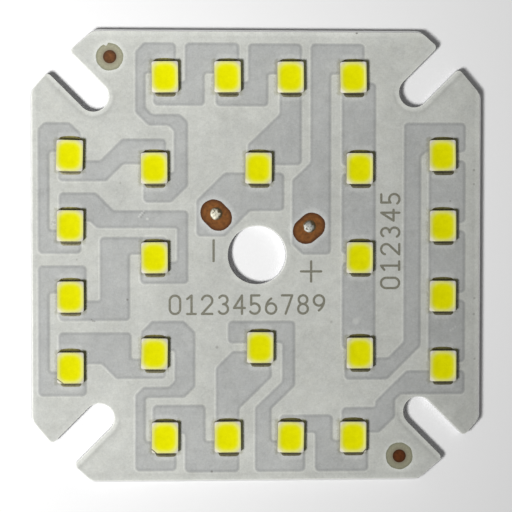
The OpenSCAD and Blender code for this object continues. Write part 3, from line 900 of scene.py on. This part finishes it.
class LEDBOARD_OT_solder_mask(bpy.types.Operator):
    """Make the white mask with its soft shoulders over the copper"""

    bl_idname = "led_board.solder_mask"
    bl_label = "Solder mask"

    def execute(self, context):
        board = context.scene.led_board
        pillows, openings = ("UNION", mask_pillows(board.sizes)), ("DIFFERENCE", mask_openings())
        shape = reopened(joined(mask_sheet(board.sizes), pillows, openings))
        finishes = [white_mask(board.colours)]
        even_shading(add_piece("mask_dressed", shape, finishes, ["solder_mask"]))
        return {"FINISHED"}


# Print

def print_ink(colours):
    """Thin ink that covers unevenly."""
    f = Finish("print_ink", roughness=0.6, specular=0.3)
    cover, ink = f.noise(0.16, detail=3), colours.ink
    f.base(f.ramp(cover, (0.30, tinted(ink, 0.86)), (0.52, ink), (0.72, tinted(ink, 1.35))))
    f.bump(cover, 0.003)
    return f


class LEDBOARD_OT_legend(bpy.types.Operator):
    """Give the printed marks their ink"""

    bl_idname = "led_board.legend"
    bl_label = "Printed marks"

    def execute(self, context):
        dress("legend_ink", print_ink(context.scene.led_board.colours))
        return {"FINISHED"}


# LEDs

LED_W, LED_L, LED_LEAN = 2.84, 3.32, 0.03
CORNER_R, CUP_R = 0.2, 0.5
# Segments of the cup's round corners
CUP_SEGMENTS = 8
# Rounding of the phosphor's deep colour, which fades early in the corners
FADE_R = 0.85
# The deep colour lies this far to the lower left of the middle
STAIN_OFF = Vector((0.035, 0.03, 0))
# Where its fading starts inside the cup's mouth, and the width over which it pales to white
STAIN_START, STAIN_WIDTH = 0.5, 1.1
CATHODE_CUT = 0.4
LEAD_T, LEAD_W, LEAD_GAP, LEAD_REACH = 0.2, 2.1, 0.9, 1.75
# How far down the walls the tone of the top fades into that of the foot
WALL_FADE = 0.15
# How far the phosphor's rim lies under the package's top, and how deep its walls go
FILL_DROP, FILL_DEPTH = 0.001, 0.12


def stain(f, colours):
    """Yellow over the phosphor that pales to the white of the package, outwards from the cup."""
    white, yellow = colours.plastic, colours.phosphor
    return f.ramp(f.attribute("off_cup"), (0.095, yellow), *(
        (place, (red, red - 0.012, yellow[2] + share * (white[2] - yellow[2]))) for place, share, red in (
            (0.22, 0.005, 0.828), (0.30, 0.018, 0.828), (0.366, 0.045, 0.828), (0.43, 0.085, 0.828),
            (0.477, 0.155, 0.828), (0.54, 0.27, 0.828), (0.60, 0.33, 0.828), (0.70, 0.42, 0.828),
            (0.80, 0.62, 0.815),
        )
    ), (0.93, white))


# Dark seams at the corners of three packages: the LED's number and both ends of the seam, in the
# package's own millimetres. The one on LED 9 is painted shade where the shadow reaches into its cut corner
SEAMS = (
    (13, (-1.36, -1.27), (-0.90, -1.64)),
    (15, (-1.37, -1.20), (-0.78, -1.63)),
    (9, (1.36, -1.30), (1.08, -1.60)),
)


def seam_marks():
    """Each seam as a row of small dark spots."""
    marks, steps = [], 7
    for number, start, end in SEAMS:
        for k in range(steps):
            p = standing(number - 1) @ Vector(start).lerp(Vector(end), k / (steps - 1)).to_3d()
            marks.append((p.x, p.y, 0.075, 0.9))
    return marks


def moulded_plastic(colours):
    """White plastic, stained by the light of the phosphor near the cup."""
    f = Finish("moulded_plastic", roughness=0.5, specular=0.08)
    off_mouth, to_left = f.span(f.attribute("outside"), 0.03, 0.22), f.attribute("to_left")
    # Painted light and shade on the corners and the rims, from the light attribute
    tone = f.scaled(stain(f, colours), f.attribute("light"))
    # Painted shade: greyer on the left of the package, outside the cup's mouth
    tone = f.mix(f.math("MULTIPLY", to_left, off_mouth), tone, (0.90, 0.89, 0.92), "MULTIPLY")
    # The right rims shine more, the further right the package stands
    shine = f.ramp(to_left, (0.045, 0.0), (0.075, 1.0), (0.11, 1.0), (0.14, 0.0))
    tone = f.scaled(tone, f.math("MULTIPLY_ADD", shine, f.span("X", -0.006, 0.012, 0.0, 0.15), 1.0))
    tone = f.mix(f.span(f.attribute("drop"), 0, 1), tone, colours.wall)
    blotches = f.span(f.noise(0.5, detail=4), 0.45, 0.8, 0.0, 0.6)
    tone = f.mix(f.math("MULTIPLY", blotches, off_mouth), tone, (0.84, 0.80, 0.70), "MULTIPLY")
    # Painted light and shade across the whole board
    f.base(f.mix(f.spots(seam_marks()), f.aged(tone), (0.06, 0.048, 0.022)))
    f.bump(f.noise(0.06, detail=3), 0.002)
    return f


def phosphor_fill(colours):
    """Silicone with phosphor, paler where it thins out at the rim."""
    f = Finish("phosphor_fill", roughness=0.6, specular=0.02)
    grain, clouds = f.noise(0.14, detail=3), f.noise(0.5, detail=3)
    # Painted light and shade on the corners and the rims, from the light attribute
    tone = f.scaled(stain(f, colours), f.attribute("light"))
    # Painted light and shade across the whole board
    f.base(f.aged(f.faded(tone, (clouds, 0.3, 0.7, 0.95, 1.03), (grain, 0.3, 0.7, 0.975, 1.02))))
    f.bump(grain, 0.003)
    return f


def cup_size(sizes):
    rim = sizes.rim / MM + LED_LEAN
    return LED_W - 2 * rim, LED_L - 2 * rim


def cup_scale(sizes, out):
    """Scale of the cup's outline, the mouth at 0 and the floor at -1."""
    lean = sizes.cup_lean / MM
    return [1 + 2 * lean * out / side for side in cup_size(sizes)] + [1]


def off_cup(sizes, p, radius):
    """Distance outside the cup's mouth when its corners have that radius, below zero inside it."""
    width, height = cup_size(sizes)
    dx, dy = abs(p.x) - (width / 2 - radius), abs(p.y) - (height / 2 - radius)
    return math.hypot(max(dx, 0), max(dy, 0)) + min(max(dx, dy), 0) - radius


def stain_place(sizes, p):
    """Place between deep yellow, well inside the cup, at 0 and the white corners of the package at 1."""
    return (off_cup(sizes, p + STAIN_OFF, FADE_R) + STAIN_START) / STAIN_WIDTH


def cathode_plane():
    """A point and the outward direction of the slanted cut that marks the cathode."""
    corner = Vector((LED_LEAN - LED_W / 2, LED_LEAN - LED_L / 2, LED_HEIGHT))
    inward = Vector((1, 1, 0)).normalized()
    return corner + inward * CATHODE_CUT, (Vector((0, 0, 1)) - inward).normalized()


def package_blank(sizes):
    """The package without its cup and leads, with the cathode's corner cut off."""
    bm = bmesh.new()
    top = raised(bm, [rounded_face(bm, (LED_W, LED_L), CORNER_R)], LED_HEIGHT)
    scale(bm, top, ((LED_W - 2 * LED_LEAN) / LED_W, (LED_L - 2 * LED_LEAN) / LED_L, 1))
    corner, slope = cathode_plane()
    cut = bmesh.ops.bisect_plane(
        bm, geom=bm.verts[:] + bm.edges[:] + bm.faces[:], plane_co=corner, plane_no=slope, clear_outer=True
    )
    bmesh.ops.edgenet_fill(bm, edges=[g for g in cut["geom_cut"] if isinstance(g, bmesh.types.BMEdge)])
    return solid_mesh(bm, "blank")


def cup_tool(sizes):
    """What the cup takes out of the package."""
    bm = bmesh.new()
    over, depth = 0.2, LED_HEIGHT - LEAD_T
    floor = rounded_face(bm, cup_size(sizes), CUP_R, (0, 0, LEAD_T), CUP_SEGMENTS)
    tops = raised(bm, [floor], depth + over)
    for faces, out in (([floor], -1), (tops, over / depth)):
        scale(bm, faces, cup_scale(sizes, out))
    return solid_mesh(bm, "cup")


def lead_box(bm, end, gap=0.0):
    """One lead, from under the package out past its end."""
    middle = (LEAD_GAP / 2 + LEAD_REACH) / 2
    size = (LEAD_W + gap, LEAD_REACH - LEAD_GAP / 2 + gap, LEAD_T + gap)
    return bmesh.ops.create_cube(
        bm, size=1, matrix=Matrix.Translation((0, end * middle, LEAD_T / 2)) @ Matrix.Diagonal((*size, 1))
    )["verts"]


def leads_tool():
    bm = bmesh.new()
    for end in ENDS:
        lead_box(bm, end, 0.01)
    return solid_mesh(bm, "leads")


def in_metres(matrix):
    return Matrix.Translation(matrix.translation * MM) @ matrix.to_3x3().to_4x4()


def write_attributes(mesh, **values_of):
    """Stores values at the points, each worked out from the point's place in millimetres."""
    for name, value_of in values_of.items():
        attribute = mesh.attributes.new(name, "FLOAT", "POINT")
        attribute.data.foreach_set("value", [value_of(v.co / MM) for v in mesh.vertices])


# How bright the white corners came out, clockwise from the upper left: painted light on the left corners and
# painted shade on the right ones
CORNER_TONES = {(-1, 1): 1.13, (1, 1): 0.78, (1, -1): 0.77, (-1, -1): 1.16}


def portion(value, low, high):
    """How far the value has got from low to high, from 0 to 1."""
    return min(1.0, max(0.0, (value - low) / (high - low)))


def light_tone(sizes, p):
    """Painted light and shade by place: the corners, and the left and right rims of package and phosphor."""
    corner = CORNER_TONES[1 if p.x > 0 else -1, 1 if p.y > 0 else -1]
    rims = 0.08 * (portion(p.x, 1.0, 1.25) - portion(-p.x, 0.75, 1.0))
    return 1 + portion(stain_place(sizes, p), 0.6, 0.96) * (corner - 1) + rims


def divide_long(bm, edges):
    """Divides the long edges, so that colours which are stored at the points stay true between the corners."""
    bmesh.ops.subdivide_edges(bm, edges=[e for e in edges if e.calc_length() > 0.8], cuts=9)


def housing_mesh(sizes):
    bm = reopened(joined(package_blank(sizes), ("DIFFERENCE", cup_tool(sizes)), ("DIFFERENCE", leads_tool())))
    make_whole(bm)
    bm.normal_update()

    def edges_above(height):
        return [e for e in bm.edges if min(v.co.z for v in e.verts) > height]

    rims = [
        e for e in edges_above(LED_HEIGHT - 0.02)
        if len(e.link_faces) == 2 and e.calc_face_angle() > CREASE
        and off_cup(sizes, (e.verts[0].co + e.verts[1].co) / 2, CUP_R) > 0.1
    ]
    bevel(bm, rims, sizes.edge_round / MM, 2)
    divide_long(bm, edges_above(LED_HEIGHT - 0.1))
    bm.normal_update()
    bmesh.ops.triangulate(bm, faces=[f for f in bm.faces if f.normal.z > LEVEL])
    mesh = finished_mesh(bm, "housing")
    corner, slope = cathode_plane()

    def drop(p):
        """0 on the top and on the cathode's cut, growing to 1 and more down the walls."""
        on_cut = abs((p - corner).dot(slope)) < 0.01
        return 0 if on_cut else (LED_HEIGHT - sizes.edge_round / MM - p.z) / WALL_FADE

    write_attributes(
        mesh, off_cup=lambda p: stain_place(sizes, p), outside=lambda p: off_cup(sizes, p, CUP_R), drop=drop,
        to_left=lambda p: 0.5 - p.x / LED_W, light=lambda p: light_tone(sizes, p)
    )
    return mesh


def phosphor_mesh(sizes):
    """The filling of the cup: a surface that dips from rim to middle, over straight walls."""
    bm = bmesh.new()
    foot = (0, 0, LED_HEIGHT - FILL_DROP - FILL_DEPTH)
    rounded_face(bm, cup_size(sizes), CUP_R, foot, CUP_SEGMENTS)
    divide_long(bm, bm.edges)
    tops = raised(bm, bm.faces, FILL_DEPTH)
    sag = sizes.meniscus / MM
    reach = 1.0
    for share in (0.93, 0.84, 0.72, 0.58, 0.42, 0.22):
        inset(bm, tops, 0.001)
        scale(bm, tops, (share / reach, share / reach, 1))
        move(bm, tops, (0, 0, sag * ((1 - reach ** 2) ** 2 - (1 - share ** 2) ** 2)))
        reach = share
    mesh = finished_mesh(bm, "phosphor")
    write_attributes(mesh, off_cup=lambda p: stain_place(sizes, p), light=lambda p: light_tone(sizes, p))
    return mesh


class LEDBOARD_OT_leds(bpy.types.Operator):
    """Make the white packages and their phosphor, and dress the dies under it"""

    bl_idname = "led_board.leds"
    bl_label = "LEDs"

    def execute(self, context):
        board = context.scene.led_board
        housing, phosphor = housing_mesh(board.led), phosphor_mesh(board.led)
        plastic, fill = moulded_plastic(board.colours), phosphor_fill(board.colours)
        for i in range(LED_COUNT):
            for kind, master, finish, slot in (
                ("housing", housing, plastic, "led_plastic"), ("phosphor", phosphor, fill, "phosphor")
            ):
                mesh = master.copy()
                mesh.transform(in_metres(standing(i)))
                node = f"led_{i + 1:02d}_{kind}"
                add_piece(node + "_dressed", mesh, [finish], [node])
        dress("led_dies", die_face())
        return {"FINISHED"}


def die_face():
    f = Finish("die_face", roughness=0.2, metallic=0.4)
    f.base(f.ramp(f.noise(0.1), (0.3, (0.30, 0.34, 0.45)), (0.7, (0.42, 0.46, 0.58))))
    return f


def tin_plate():
    """Plated lead ends, a little dull."""
    f = Finish("tin_plate", roughness=0.5, metallic=0.6)
    body = f.ramp(f.noise(0.12, detail=3), (0.3, (0.07, 0.063, 0.033)), (0.7, (0.15, 0.14, 0.08)))
    # Painted light: paler towards the left of the board, where the lead ends lie in less shadow
    f.base(f.faded(body, ("X", -0.016, 0.004, 1.7, 1.0)))
    f.bump(f.noise(0.05), 0.002)
    return f


class LEDBOARD_OT_terminals(bpy.types.Operator):
    """Make the plated leads at both ends of each LED"""

    bl_idname = "led_board.terminals"
    bl_label = "LED leads"

    def execute(self, context):
        bm = bmesh.new()
        for i in range(LED_COUNT):
            for end in ENDS:
                verts = lead_box(bm, end)
                bmesh.ops.transform(bm, matrix=standing(i), verts=verts)
                bevel(bm, linked(verts, "link_edges"), 0.02, 1)
        add_piece("terminals_dressed", bm, [tin_plate()], ["led_terminals"])
        return {"FINISHED"}


# Solder

def aged_solder():
    """Dark, dull solder with a film of old flux, and painted light on it."""
    f = Finish("aged_solder", roughness=0.42, metallic=0.5)
    spots = f.noise(0.18, detail=4)
    body = f.ramp(
        spots, (0.3, (0.155, 0.143, 0.079)), (0.55, (0.202, 0.187, 0.112)), (0.75, (0.265, 0.247, 0.162))
    )
    # Painted light: paler at the left of the board, and paler and yellower on the upper joints, which lie in
    # the packages' shadow, most at the top of the board
    body = f.faded(body, ("X", -0.022, 0.022, 1.26, 0.76))
    upper = f.mix(1.0, f.faded(body, ("Y", -0.022, 0.022, 1.05, 1.95)), (1.0, 0.98, 0.56), "MULTIPLY")
    f.base(f.mix(f.attribute("upper"), body, upper))
    f.roughness(spots, 0.38, 0.58)
    f.bump(f.noise(0.12, detail=2), 0.004)
    return f


# A joint in millimetres: where it starts under the lead, how far it runs past the opening in the mask, its
# height against the lead's end, how far that varies, and its thickness at the far end
JOINT_START, JOINT_OVER, JOINT_RISE, RISE_VARIES, JOINT_END = 0.72, 0.01, 0.17, 0.02, 0.012


def joint_bmesh(bm, place, end, seed):
    """One solder joint: a film under the lead that runs out in a hollow slope beyond its end."""
    draw = random.Random(seed)
    half_w, right, bow, far = PAD_SHAPES[end]
    far += JOINT_OVER
    film = LED_FOOT - FOIL_TOP
    rise = JOINT_RISE + draw.uniform(-RISE_VARIES, RISE_VARIES)
    verts = bmesh.ops.create_grid(bm, x_segments=14, y_segments=12, size=0.5)["verts"]
    for v in verts:
        across, along = 2 * v.co.x, v.co.y + 0.5
        # The rows crowd towards the slope
        y = JOINT_START + (far - JOINT_START) * along ** 0.55
        reach = half_w
        if y > far - PAD_CORNER:
            reach -= PAD_CORNER - math.sqrt(max(0.0, PAD_CORNER ** 2 - (y - far + PAD_CORNER) ** 2))
        slope = max(0.0, (far - y) / (far - LEAD_REACH))
        y -= bow * across ** 2 * along
        z = film
        if slope < 1:
            z = JOINT_END + (rise + film) * slope ** 2.2 * (0.35 + 0.65 * max(0.0, 1 - abs(across) ** 4))
        v.co = Vector((right + across * reach, end * y, z))
    sunk = bmesh.ops.extrude_face_region(bm, geom=linked(verts, "link_faces"))
    lower = [g for g in sunk["geom"] if isinstance(g, bmesh.types.BMVert)]
    for v in lower:
        v.co.z = 0
    bmesh.ops.translate(bm, vec=(place.x, place.y, FOIL_TOP), verts=verts + lower)


def on_upper_joint(p):
    """1 on a joint above its LED and 0 on one below it, by the nearest LED."""
    return min((abs(p.x - led.x) + abs(p.y - led.y), p.y > led.y) for led in LEDS)[1]


class LEDBOARD_OT_led_solder(bpy.types.Operator):
    """Make the solder joints at both ends of each LED"""

    bl_idname = "led_board.led_solder"
    bl_label = "LED solder"

    def execute(self, context):
        bm = bmesh.new()
        for i, place in enumerate(PADS):
            for end in ENDS:
                joint_bmesh(bm, place, end, 2 * i + (end > 0))
        piece = add_piece("led_solder_dressed", bm, [aged_solder()], ["led_solder"])
        write_attributes(piece.data, upper=on_upper_joint)
        return {"FINISHED"}


# The old drops: place, seed, bright colour of the painted highlight, and how much of it is left away from the
# lower left, where painted shade falls
DROPS = {
    "minus_wire_solder": (Vector((-4.35, 4.55 + ARTWORK_LIFT, FOIL_TOP)), 3, (0.86, 0.82, 0.66), 0.75),
    "plus_wire_solder": (Vector((5.6, 3.2 + ARTWORK_LIFT, FOIL_TOP)), 8, (0.68, 0.69, 0.64), 0.4),
}


def wire_solder(place, bright, far_tone):
    """Dull solder with a painted highlight in a bright, uneven patch towards the lower left, darkened away from
    it by painted shade and brown flux, and a rim of brown flux.
    """
    f = Finish("wire_solder", roughness=0.5, metallic=0.25, specular=0.3)
    spots = f.noise(0.26, detail=4, roughness=0.6)
    uneven = f.span(f.noise(0.5), 0, 1, -0.35, 0.35)
    off_patch = f.math("ADD", f.distance(place + Vector((-0.16, -0.09, 0))), uneven)
    dull, flux, rim = (0.13, 0.11, 0.07), (0.085, 0.062, 0.030), (0.25, 0.14, 0.06)
    body = f.ramp(
        spots, (0.34, dull), (0.42, tinted(bright, 0.62)), (0.50, tinted(bright, 0.85)), (0.62, bright)
    )
    # Painted shade away from the lower left
    body = f.faded(body, (f.distance(place + Vector((-0.3, -0.3, 0))), 0.25, 0.8, 1.0, far_tone))
    # Beyond the bright patch, painted shade and brown flux
    body = f.mix(f.span(off_patch, 0.42, 0.60), body, flux)
    f.base(f.mix(f.span(f.distance(place), 0.58, 0.70), body, rim))
    f.bump(spots, 0.03)
    return f


def drop_bmesh(place, seed):
    """A low lump of solder, left uneven where the wire came off."""
    bm = bmesh.new()
    radius, height = 0.70, 0.15
    bmesh.ops.create_uvsphere(bm, u_segments=32, v_segments=16, radius=1.0)
    whole = bm.verts[:] + bm.edges[:] + bm.faces[:]
    bmesh.ops.bisect_plane(bm, geom=whole, plane_co=(0, 0, 0), plane_no=(0, 0, -1), clear_outer=True)
    bmesh.ops.holes_fill(bm, edges=[e for e in bm.edges if e.is_boundary])
    offset = Vector((seed, 0, 0))
    for v in bm.verts:
        side = radius * (1 + 0.10 * noise.noise(v.co * 1.7 + offset))
        dent = 0.5 * abs(noise.noise(v.co * 2.6 - offset)) * v.co.z
        v.co = Vector((v.co.x * side, v.co.y * side, max(0.0, v.co.z * height * (1 - dent))))
    top = max(v.co.z for v in bm.verts)
    bmesh.ops.scale(bm, vec=(1, 1, min(1.0, height / top)), verts=bm.verts)
    bmesh.ops.translate(bm, vec=place, verts=bm.verts)
    return bm


class LEDBOARD_OT_wire_solder(bpy.types.Operator):
    """Make the old drops of solder on the two wire pads"""

    bl_idname = "led_board.wire_solder"
    bl_label = "Wire solder"

    def execute(self, context):
        for node, (place, seed, bright, far_tone) in DROPS.items():
            finishes = [wire_solder(place, bright, far_tone)]
            add_piece(node + "_dressed", drop_bmesh(place, seed), finishes, [node])
        return {"FINISHED"}


# Stage

# How far the floor lies under the board, in metres
FLOOR_GAP = 0.00002
# How high the key lamp stands above the board's plane, and the place of the near lamp in metres
KEY_ELEVATION = math.radians(60)
NEAR_PLACE = (-0.105, -0.054, 0.190)
# The photograph's viewpoint, in millimetres and degrees
CAMERA_PLACE, CAMERA_ANGLES = Vector((-18.224, 8.994, 241.27)), (-2.167, -4.312, 0.07)


def floor_paint(settings):
    f = Finish("floor_paint", roughness=0.8, specular=0.2)
    plain = f.ramp(f.noise(60, detail=2), (0.3, tinted(settings.floor, 0.985)), (0.7, settings.floor))
    # The camera, reflections and glass see the floor whiter than the board's own colours do
    rays = f.node("LightPath").outputs
    seen = f.least([rays[f"Is {kind} Ray"] for kind in ("Camera", "Glossy", "Transmission")], "MAXIMUM")
    f.base(f.mix(seen, plain, settings.floor_seen))
    return f


def lamp(kind, name, energy, direction, **settings):
    """A lamp whose beam points along the direction."""
    light = bpy.data.lights.new(name, kind)
    light.energy = energy
    for key, value in settings.items():
        setattr(light, key, value)
    made = placed(name, light)
    made.rotation_euler = Vector(direction).to_track_quat("-Z", "Y").to_euler()
    return made


class LEDBOARD_OT_stage(bpy.types.Operator):
    """Make the floor, the lamps and the camera at the photograph's viewing angle"""

    bl_idname = "led_board.stage"
    bl_label = "Stage"

    def execute(self, context):
        scene = context.scene
        settings = scene.led_board.stage
        bm = bmesh.new()
        bmesh.ops.create_grid(bm, x_segments=1, y_segments=1, size=1.5)
        bmesh.ops.translate(bm, vec=(0, 0, -FLOOR_GAP), verts=bm.verts)
        floor = placed("floor", bpy.data.meshes.new("floor"))
        bm.to_mesh(floor.data)
        bm.free()
        floor.data.materials.append(floor_paint(settings).material)

        # The key stands at the lower left
        across, down = math.cos(KEY_ELEVATION), math.sin(KEY_ELEVATION)
        lamp("SUN", "key", settings.key, (0.89 * across, 0.455 * across, -down), angle=math.radians(8))
        # A grid on the near lamp lets its light fade towards the far corner
        near = lamp(
            "AREA", "near", settings.near, (0.025, 0.094, -0.190), size=0.045, spread=math.radians(106)
        )
        near.location = NEAR_PLACE
        near.visible_camera = False

        world = bpy.data.worlds.new("room")
        world.use_nodes = True
        sky = world.node_tree.nodes["Background"]
        sky.inputs["Color"].default_value = (1, 1, 1, 1)
        sky.inputs["Strength"].default_value = settings.fill
        scene.world = world

        lens = bpy.data.cameras.new("camera")
        lens.lens = settings.lens
        lens.clip_start, lens.clip_end = 0.01, 10
        scene.camera = placed("camera", lens)
        scene.camera.location = CAMERA_PLACE * MM
        scene.camera.rotation_euler = [math.radians(a) for a in CAMERA_ANGLES]
        scene.view_settings.view_transform = "Standard"
        return {"FINISHED"}


class BoardSettings(bpy.types.PropertyGroup):
    """All settings of the board."""

    sizes: PointerProperty(type=BoardSizes)
    led: PointerProperty(type=LedSizes)
    colours: PointerProperty(type=BoardColours)
    stage: PointerProperty(type=StageSettings)


STEPS = (
    LEDBOARD_OT_base_plate, LEDBOARD_OT_insulation, LEDBOARD_OT_copper, LEDBOARD_OT_solder_mask,
    LEDBOARD_OT_legend, LEDBOARD_OT_leds, LEDBOARD_OT_terminals, LEDBOARD_OT_led_solder,
    LEDBOARD_OT_wire_solder, LEDBOARD_OT_stage,
)


class VIEW3D_PT_led_board(bpy.types.Panel):
    """The board's steps and settings"""

    bl_label = "LED board"
    bl_space_type = "VIEW_3D"
    bl_region_type = "UI"
    bl_category = "LED board"

    def draw(self, context):
        for step in STEPS:
            self.layout.operator(step.bl_idname)
        board = context.scene.led_board
        for group in (board.sizes, board.led, board.colours, board.stage):
            for name in group.__annotations__:
                self.layout.prop(group, name)


CLASSES = (BoardSizes, LedSizes, BoardColours, StageSettings, BoardSettings, *STEPS, VIEW3D_PT_led_board)


def register():
    for cls in CLASSES:
        bpy.utils.register_class(cls)
    bpy.types.Scene.led_board = PointerProperty(type=BoardSettings)


def unregister():
    del bpy.types.Scene.led_board
    for cls in reversed(CLASSES):
        bpy.utils.unregister_class(cls)


def main():
    register()
    for step in STEPS:
        group, name = step.bl_idname.split(".")
        getattr(getattr(bpy.ops, group), name)()


if __name__ == "__main__":
    main()
